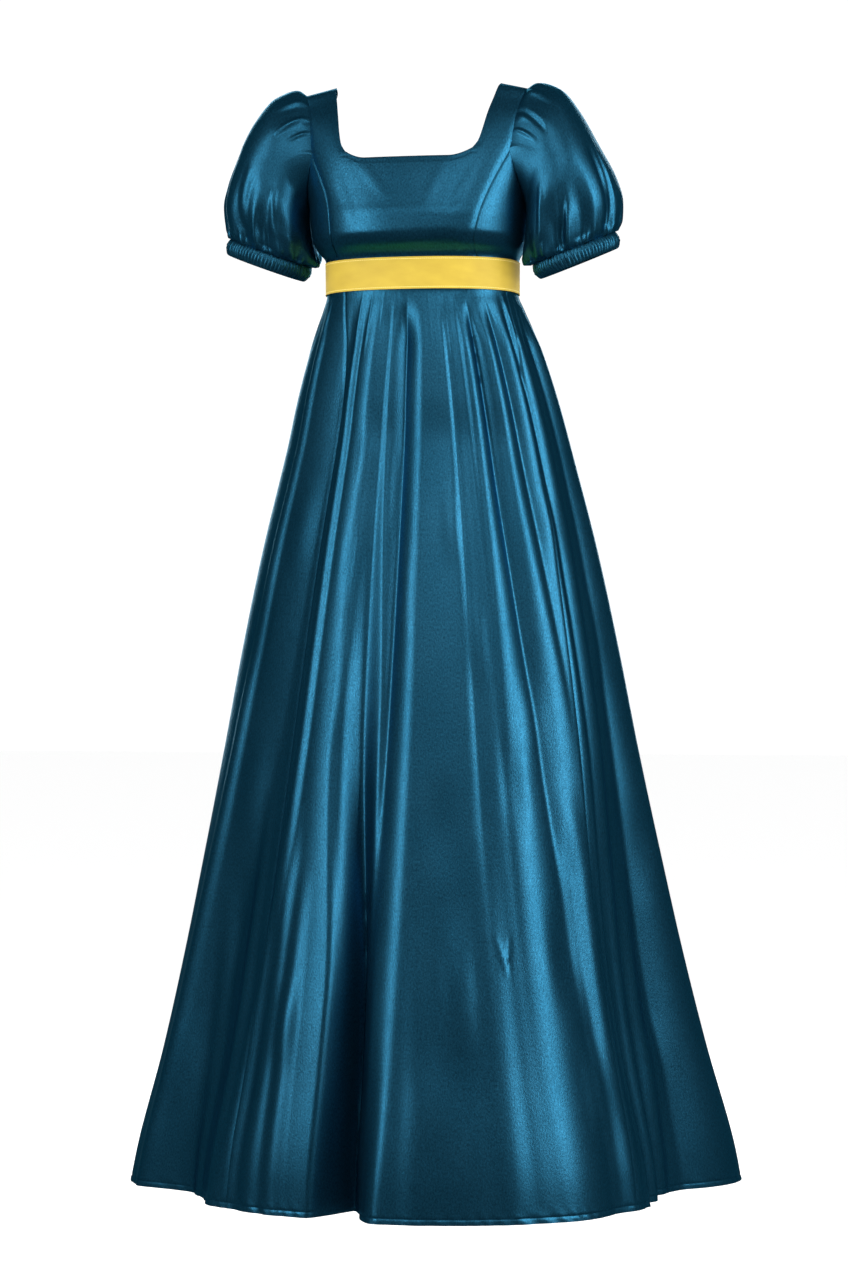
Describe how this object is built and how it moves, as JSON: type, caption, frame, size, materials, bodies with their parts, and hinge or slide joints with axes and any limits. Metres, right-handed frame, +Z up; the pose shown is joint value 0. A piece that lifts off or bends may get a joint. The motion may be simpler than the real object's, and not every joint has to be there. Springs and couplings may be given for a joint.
{
  "type": "regency gown",
  "caption": "Full-length high-waisted satin gown with a square neck, short puff sleeves on shirred cuffs, a ribbon under the bust and a flared, softly gathered skirt.",
  "frame": {"origin": "midway between the two shoulder tops, where the wearer's shoulders hold the gown up", "axes": "+Z is up, the gown's front faces -Y, and the wearer's left sleeve is at +X"},
  "size_m": [0.7707, 0.7542, 1.3978],
  "materials": {
    "satin": "satin weave, shiny",
    "cuff_satin": "satin weave, shirred",
    "ribbon_yellow": "matt ribbon"
  },
  "bodies": {
    "root": {"bodice_front": "satin", "bodice_side_front_left": "satin", "bodice_side_front_right": "satin", "bodice_back_left": "satin", "bodice_back_right": "satin", "sleeve_left": "satin", "sleeve_right": "satin", "cuff_left": "cuff_satin", "cuff_right": "cuff_satin", "ribbon": "ribbon_yellow", "skirt_front": "satin", "skirt_side_left": "satin", "skirt_side_right": "satin", "skirt_back_left": "satin", "skirt_back_right": "satin"}
  },
  "joints": []
}
